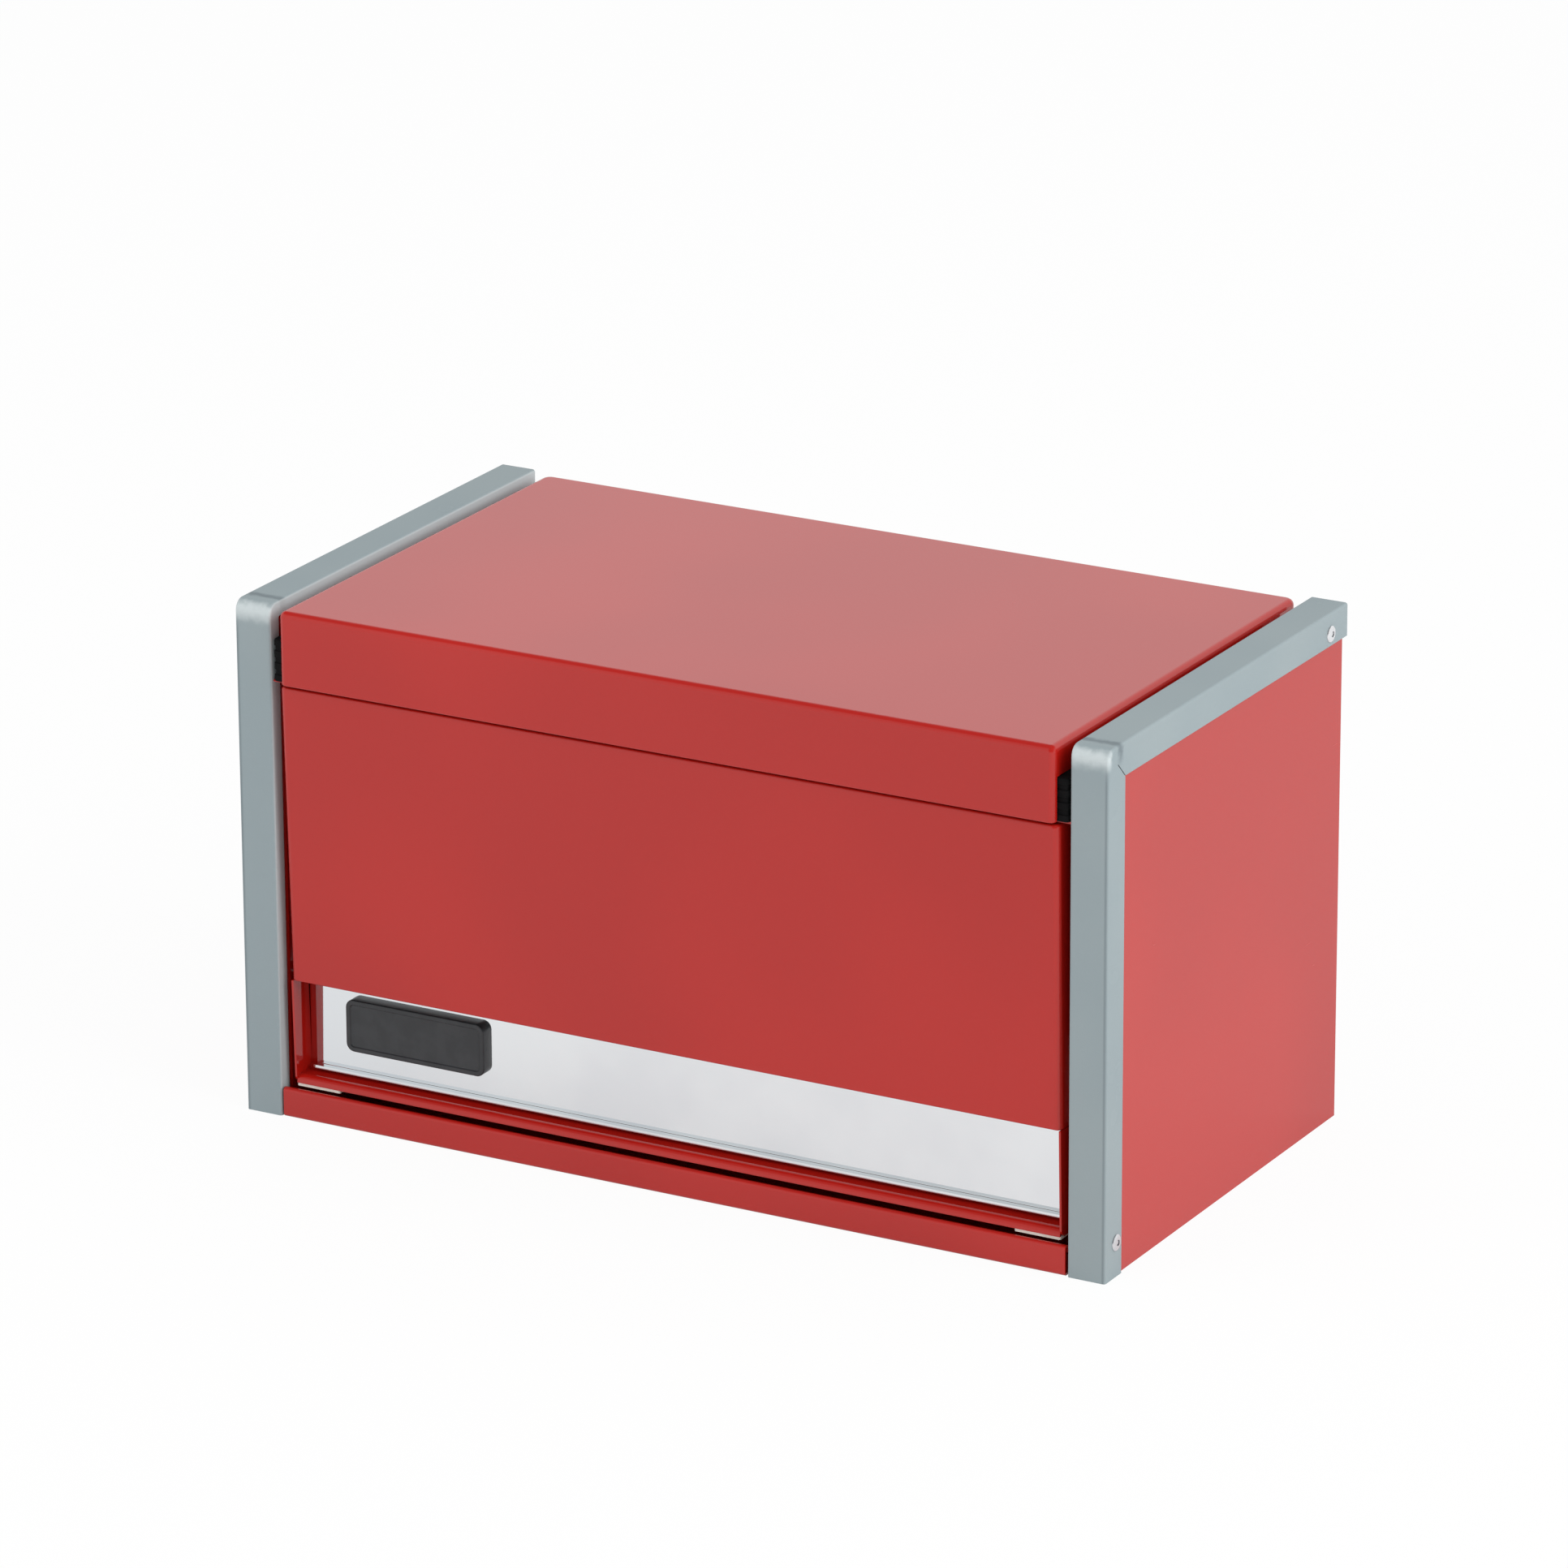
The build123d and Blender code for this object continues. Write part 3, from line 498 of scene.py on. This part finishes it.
# moulded and turned surfaces: fine grain, two close tones and a little dust
dustSet = {
    "colour": tone(190, 188, 184),
    "width": 2,                 # times the grain
    "spots": (0.66, 0.78),
    "share": 0.07,
    "rough": 0.10,
    "blotch": 14,               # times the grain
    "blotchTones": (0.35, 0.65),
    "blotchRough": 0.08,
}
plainSet = {
    "rivet": {"colour": tone(232, 233, 235), "second": tone(210, 212, 216), "rough": 0.22,
              "grain": 1.2 * mm, "depth": 0.01 * mm, "metal": 1.0, "gloss": 0.5},
    "ball": {"colour": tone(226, 228, 232), "second": tone(206, 209, 214), "rough": 0.08,
             "grain": 1.5 * mm, "depth": 0.001 * mm, "metal": 1.0, "gloss": 0.5},
    "badge": {"colour": tone(44, 46, 49), "second": tone(36, 38, 41), "rough": 0.30,
              "grain": 0.5 * mm, "depth": 0.01 * mm, "metal": 0.0, "gloss": 0.5},
    "rubber": {"colour": tone(17, 17, 18), "second": tone(11, 11, 12), "rough": 0.75,
               "grain": 0.6 * mm, "depth": 0.02 * mm, "metal": 0.0, "gloss": 0.12},
    "mat": {"colour": tone(30, 31, 33), "second": tone(22, 23, 24), "rough": 0.66,
            "grain": 0.9 * mm, "depth": 0.03 * mm, "metal": 0.0, "gloss": 0.3},
    "nylon": {"colour": tone(240, 234, 226), "second": tone(230, 222, 212), "rough": 0.42,
              "grain": 0.8 * mm, "depth": 0.01 * mm, "metal": 0.0, "gloss": 0.5},
}


def plainFinish(name, size, dusty):
    material, recipe = newMaterial(name)
    grain = recipe.noise(size["grain"], detail=4.0, rough=0.6)
    blotch = recipe.noise(size["grain"] * dusty["blotch"], detail=3.0)
    dust = recipe.noise(size["grain"] * dusty["width"], detail=4.0, rough=0.7)
    dust = recipe.between(dust, *dusty["spots"])
    patches = recipe.between(blotch, *dusty["blotchTones"])
    colour = recipe.mix(patches, size["second"], size["colour"])
    colour = recipe.mix(dust * dusty["share"], colour, dusty["colour"])
    rough = size["rough"] + blotch * dusty["blotchRough"] + dust * dusty["rough"]
    recipe.finish({"Base Color": colour, "Roughness": rough, "Metallic": size["metal"],
                   "Specular IOR Level": size["gloss"],
                   "Normal": recipe.bump(grain, size["depth"])})
    return material


plain = {name: plainFinish(name + "Finish", size, dustSet) for name, size in plainSet.items()}
finishOfSlot = {
    "red_paint": redPaint("glossRed", redSet),
    "grey_paint": greyPaint("satinGrey", greySet),
    "polished_aluminium": stripMetal("polishedStrip", stripSet),
    "zinc_steel": zincPlate("zincPlate", zincSet),
    "bright_rivet": plain["rivet"],
    "ball_steel": plain["ball"],
    "black_badge": plain["badge"],
    "black_rubber": plain["rubber"],
    "ribbed_mat": plain["mat"],
    "white_nylon": plain["nylon"],
}
for part in frame["record"]["subparts"]:
    node = nodes[part["node"]]
    node.data.materials.clear()
    node.data.materials.append(finishOfSlot[part["material_slot"]])


# shaping helpers
aligned = 0.9       # how closely a normal or an edge follows an axis that it counts for


def alone():
    # nothing stays selected from the step before
    if bpy.context.object and bpy.context.object.mode != "OBJECT":
        bpy.ops.object.mode_set(mode="OBJECT")
    bpy.ops.object.select_all(action="DESELECT")


def settle(name):
    # the fresh primitive's place and size go into its mesh
    piece = bpy.context.active_object
    piece.name = name
    piece.data.name = name
    bpy.ops.object.transform_apply(location=True, rotation=True, scale=True)
    return piece


def startBlock(name, low, high):
    alone()
    middle = [(first + second) / 2 for first, second in zip(low, high)]
    size = [second - first for first, second in zip(low, high)]
    bpy.ops.mesh.primitive_cube_add(size=1, location=middle, scale=size)
    return settle(name)


def startDisc(name, radius, depth, sides):
    # lies on the origin
    alone()
    bpy.ops.mesh.primitive_cylinder_add(vertices=sides, radius=radius, depth=depth,
                                        location=(0, 0, depth / 2))
    return settle(name)


def pickFaces(piece, wanted):
    bpy.ops.mesh.select_mode(type="FACE")
    bpy.ops.mesh.select_all(action="DESELECT")
    shape = bmesh.from_edit_mesh(piece.data)
    for face in shape.faces:
        face.select_set(wanted(face.calc_center_median(), face.normal))
    bmesh.update_edit_mesh(piece.data)


def pickEdges(piece, wanted):
    bpy.ops.mesh.select_mode(type="EDGE")
    bpy.ops.mesh.select_all(action="DESELECT")
    shape = bmesh.from_edit_mesh(piece.data)
    for edge in shape.edges:
        first, second = (corner.co for corner in edge.verts)
        edge.select_set(wanted((first + second) / 2, (second - first).normalized()))
    bmesh.update_edit_mesh(piece.data)


def turnUp(rings):
    # raises the picked round face ring by ring: a rise, and the share of the width that is left
    for rise, share in rings:
        bpy.ops.mesh.extrude_region_move(TRANSFORM_OT_translate={"value": (0, 0, rise)})
        bpy.ops.transform.resize(value=(share, share, 1))


def smoothed(piece, degrees):
    alone()
    piece.select_set(True)
    bpy.context.view_layer.objects.active = piece
    bpy.ops.object.shade_smooth_by_angle(angle=math.radians(degrees))
    return piece


def cutAway(piece, cutter):
    cut = piece.modifiers.new("cut", "BOOLEAN")
    cut.object = cutter
    alone()
    bpy.context.view_layer.objects.active = piece
    piece.select_set(True)
    bpy.ops.object.modifier_apply(modifier=cut.name)
    bpy.data.objects.remove(cutter)


def spread(first, name, places):
    # one copy with its own mesh at each place, all joined to one piece
    copies = []
    for place in places:
        copy = bpy.data.objects.new(name, first.data.copy())
        bpy.context.scene.collection.objects.link(copy)
        copy.data.transform(place)
        copies.append(copy)
    bpy.data.objects.remove(first)
    alone()
    for copy in copies:
        copy.select_set(True)
    bpy.context.view_layer.objects.active = copies[0]
    bpy.ops.object.join()
    joined = bpy.context.active_object
    joined.name = name
    joined.data.name = name
    return joined


def facing(axis, place):
    # turns a piece made along +Z to an axis and moves it to its place
    turn = Vector((0, 0, 1)).rotation_difference(Vector(axis))
    return Matrix.Translation(place) @ turn.to_matrix().to_4x4()


def fitted(piece, body, node, slot):
    piece.data.materials.clear()
    piece.data.materials.append(finishOfSlot[slot])
    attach(piece, body)
    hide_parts(node)


# blind rivets
rivetSet = {
    "head": 3.2 * mm,           # radius
    "headHeight": 1.0 * mm,
    "rim": 0.30 * mm,
    # each step is a rise and the share of the width that is left
    "dome": [(0.20 * mm, 0.955), (0.20 * mm, 0.90), (0.16 * mm, 0.84), (0.09 * mm, 0.76),
             (0.04 * mm, 0.70), (0.0, 0.92)],
    "mandrel": [(-0.70 * mm, 0.94), (0.0, 0.74), (0.42 * mm, 0.90), (0.06 * mm, 0.60)],
    "shank": 0.5,               # times the head
    "tail": [(0.0, 1.3), (-0.48 * mm, 1.0), (-0.32 * mm, 0.8)],
    "sides": 36,
    "smooth": 38,
    "trimGrip": 1.8 * mm,
    "caseGrip": 2.6 * mm,
    "lidGrip": 1.8 * mm,
    "hingeCount": 4,
}


def rivet(size, name, grip):
    # made along +Z with its seat at the origin
    piece = startDisc(name, size["head"], size["rim"], size["sides"])
    bpy.ops.object.mode_set(mode="EDIT")
    pickFaces(piece, lambda middle, normal: normal.z > aligned)
    turnUp(size["dome"] + size["mandrel"])
    pickFaces(piece, lambda middle, normal: normal.z < -aligned and middle.length < size["rim"])
    turnUp([(0.0, size["shank"]), (-grip, 1.0)] + size["tail"])
    bpy.ops.object.mode_set(mode="OBJECT")
    return smoothed(piece, size["smooth"])


def trimRivets(size):
    low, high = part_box("trim_rivets")
    seat = low.x + size["headHeight"]
    front = Vector((seat, low.y + size["head"], low.z + size["head"]))
    rear = Vector((seat, high.y - size["head"], high.z - size["head"]))
    places = []
    for spot in (front, rear):
        places.append(facing((-1, 0, 0), spot))
        places.append(facing((1, 0, 0), (-spot.x, spot.y, spot.z)))
    piece = spread(rivet(size, "trimRivet", size["trimGrip"]), "trimRivets", places)
    fitted(piece, "case", "trim_rivets", "bright_rivet")


def hingeRivets(size, name, node, body, grip):
    low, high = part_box(node)
    first = low.x + size["head"]
    step = (high.x - size["head"] - first) / (size["hingeCount"] - 1)
    height = (low.z + high.z) / 2
    seat = high.y - size["headHeight"]
    places = [facing((0, 1, 0), (first + index * step, seat, height))
              for index in range(size["hingeCount"])]
    fitted(spread(rivet(size, name, grip), name, places), body, node, "zinc_steel")


trimRivets(rivetSet)
hingeRivets(rivetSet, "hingeCaseRivets", "hinge_body_rivets", "case", rivetSet["caseGrip"])
hingeRivets(rivetSet, "hingeLidRivets", "hinge_lid_rivets", "lid", rivetSet["lidGrip"])
print("rivets set")


# slide screws
screwSet = {
    "head": 2.8 * mm,           # radius
    "headHeight": 0.9 * mm,
    "rim": 0.35 * mm,
    "dome": [(0.22 * mm, 0.93), (0.18 * mm, 0.84), (0.10 * mm, 0.70)],  # rise, share of width left
    "shank": 1.5 * mm,
    "tip": 0.5 * mm,
    "tipShare": 0.55,
    "crossLength": 2.5 * mm,
    "crossWidth": 0.55 * mm,
    "crossDepth": 0.62 * mm,
    "crossTaper": 0.7,
    "clear": 1.0 * mm,          # how far the cutter stands above the head
    "sides": 32,
    "smooth": 35,
    "cabinetLength": 3.0 * mm,
    "drawerLength": 2.8 * mm,
}


def screw(size, name, length):
    # made along +Z with its head's seat at the origin
    piece = startDisc(name, size["head"], size["rim"], size["sides"])
    bpy.ops.object.mode_set(mode="EDIT")
    pickFaces(piece, lambda middle, normal: normal.z > aligned)
    turnUp(size["dome"])
    pickFaces(piece, lambda middle, normal: normal.z < -aligned)
    turnUp([(0.0, size["shank"] / size["head"]), (size["tip"] - length, 1.0),
            (-size["tip"], size["tipShare"])])
    bpy.ops.object.mode_set(mode="OBJECT")
    top = size["rim"] + sum(rise for rise, share in size["dome"])
    floor, ceiling = top - size["crossDepth"], top + size["clear"]
    longHalf, shortHalf = size["crossLength"] / 2, size["crossWidth"] / 2
    for across, along in ((longHalf, shortHalf), (shortHalf, longHalf)):
        cutter = startBlock("crossCut", (-across, -along, floor), (across, along, ceiling))
        bpy.ops.object.mode_set(mode="EDIT")
        pickFaces(cutter, lambda middle, normal: normal.z < -aligned)
        bpy.ops.transform.resize(value=(size["crossTaper"], size["crossTaper"], 1))
        bpy.ops.object.mode_set(mode="OBJECT")
        cutAway(piece, cutter)
    return smoothed(piece, size["smooth"])


def slideScrews(size, name, node, body, length, inward):
    # the cabinet's heads point inwards and the drawer's outwards
    low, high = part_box(node)
    seat = low.x + (length if inward else size["headHeight"])
    axis = 1 if inward else -1
    height = (low.z + high.z) / 2
    places = []
    for along in (low.y + size["head"], high.y - size["head"]):
        places.append(facing((axis, 0, 0), (seat, along, height)))
        places.append(facing((-axis, 0, 0), (-seat, along, height)))
    fitted(spread(screw(size, name, length), name, places), body, node, "zinc_steel")


slideScrews(screwSet, "cabinetScrews", "slide_cabinet_screws", "case",
            screwSet["cabinetLength"], inward=True)
slideScrews(screwSet, "drawerScrews", "slide_drawer_screws", "drawer",
            screwSet["drawerLength"], inward=False)
print("slide screws set")


# bare badge plate
badgeSet = {
    "corner": 3.4 * mm,
    "cornerSteps": 10,
    "edge": 0.6 * mm,
    "edgeSteps": 4,
    "rim": 1.2 * mm,
    "step": 0.35 * mm,
    "sunk": 0.40 * mm,
    "flat": 0.99,               # picks the flat front inside its rounded edge
    "smooth": 30,
}


def badgePlate(size):
    piece = startBlock("badgePlate", *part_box("badge_plate"))
    bpy.ops.object.mode_set(mode="EDIT")
    pickEdges(piece, lambda middle, run: abs(run.y) > aligned)
    bpy.ops.mesh.bevel(offset=size["corner"], segments=size["cornerSteps"], affect="EDGES")
    pickFaces(piece, lambda middle, normal: normal.y < -aligned)
    bpy.ops.mesh.bevel(offset=size["edge"], segments=size["edgeSteps"], affect="EDGES")
    pickFaces(piece, lambda middle, normal: normal.y < -size["flat"])
    bpy.ops.mesh.inset(thickness=size["rim"])
    bpy.ops.mesh.inset(thickness=size["step"], depth=-size["sunk"])
    bpy.ops.mesh.inset(thickness=size["step"] / 2)
    bpy.ops.object.mode_set(mode="OBJECT")
    fitted(smoothed(piece, size["smooth"]), "drawer", "badge_plate", "black_badge")


badgePlate(badgeSet)
print("badge plate set")


# ribbed mats of the tray and the drawer
matSet = {
    "rib": 0.6 * mm,            # height
    "pitch": 3.6 * mm,
    "slope": 0.35 * mm,
    "notchGap": 0.5 * mm,       # room beside and behind a lid rest
    "notchOver": 4.0 * mm,      # how far the cut runs out past the mat
    "smooth": 30,
}


def ribbedMat(size, name, node):
    low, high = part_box(node)
    piece = startBlock(name, low, (high.x, high.y, high.z - size["rib"]))
    rows = 2 * round((high.y - low.y) / size["pitch"]) + 1
    deep = (high.y - low.y) / rows

    def isRib(middle, normal):
        return normal.z > aligned and int((middle.y - low.y) / deep) % 2 == 0

    bpy.ops.object.mode_set(mode="EDIT")
    pickEdges(piece, lambda middle, run: abs(run.y) > aligned)
    bpy.ops.mesh.subdivide(number_cuts=rows - 1)
    pickFaces(piece, isRib)
    bpy.ops.mesh.inset(thickness=size["slope"], depth=size["rib"], use_individual=True)
    bpy.ops.object.mode_set(mode="OBJECT")
    return piece


def trayMat(size):
    piece = ribbedMat(size, "trayMat", "tray_liner")
    gap, over = size["notchGap"], size["notchOver"]
    for side in ("left_lid_rest", "right_lid_rest"):
        low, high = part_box(side)
        start, end = low - Vector((gap, over, over)), high + Vector((gap, gap, 0))
        cutAway(piece, startBlock("restCut", start, end))
    fitted(smoothed(piece, size["smooth"]), "case", "tray_liner", "ribbed_mat")


def drawerMat(size):
    piece = ribbedMat(size, "drawerMat", "drawer_liner")
    fitted(smoothed(piece, size["smooth"]), "drawer", "drawer_liner", "ribbed_mat")


trayMat(matSet)
drawerMat(matSet)
print("mats laid")


# rubber lid rests
restSet = {
    "corner": 1.5 * mm,
    "cornerSteps": 6,
    "edge": 0.8 * mm,
    "edgeSteps": 4,
    "grooves": 3,
    "groove": 0.45 * mm,
    "smooth": 35,
}


def lidRest(size, side):
    node = side + "_lid_rest"
    low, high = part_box(node)
    rows = 2 * size["grooves"] + 1
    step = (high.z - low.z) / rows

    def isGroove(middle, normal):
        return abs(normal.z) < 1 - aligned and int((middle.z - low.z) / step) % 2 == 1

    piece = startBlock(side + "LidRest", low, high)
    bpy.ops.object.mode_set(mode="EDIT")
    pickEdges(piece, lambda middle, run: abs(run.z) > aligned)
    bpy.ops.mesh.bevel(offset=size["corner"], segments=size["cornerSteps"], affect="EDGES")
    pickEdges(piece, lambda middle, run: abs(run.z) > aligned)
    bpy.ops.mesh.subdivide(number_cuts=rows - 1)
    pickFaces(piece, isGroove)
    bpy.ops.mesh.inset(thickness=size["groove"] / 2, depth=-size["groove"])
    pickFaces(piece, lambda middle, normal: normal.z > aligned)
    bpy.ops.mesh.bevel(offset=size["edge"], segments=size["edgeSteps"], affect="EDGES")
    bpy.ops.object.mode_set(mode="OBJECT")
    fitted(smoothed(piece, size["smooth"]), "case", node, "black_rubber")


lidRest(restSet, "left")
lidRest(restSet, "right")
print("lid rests set")
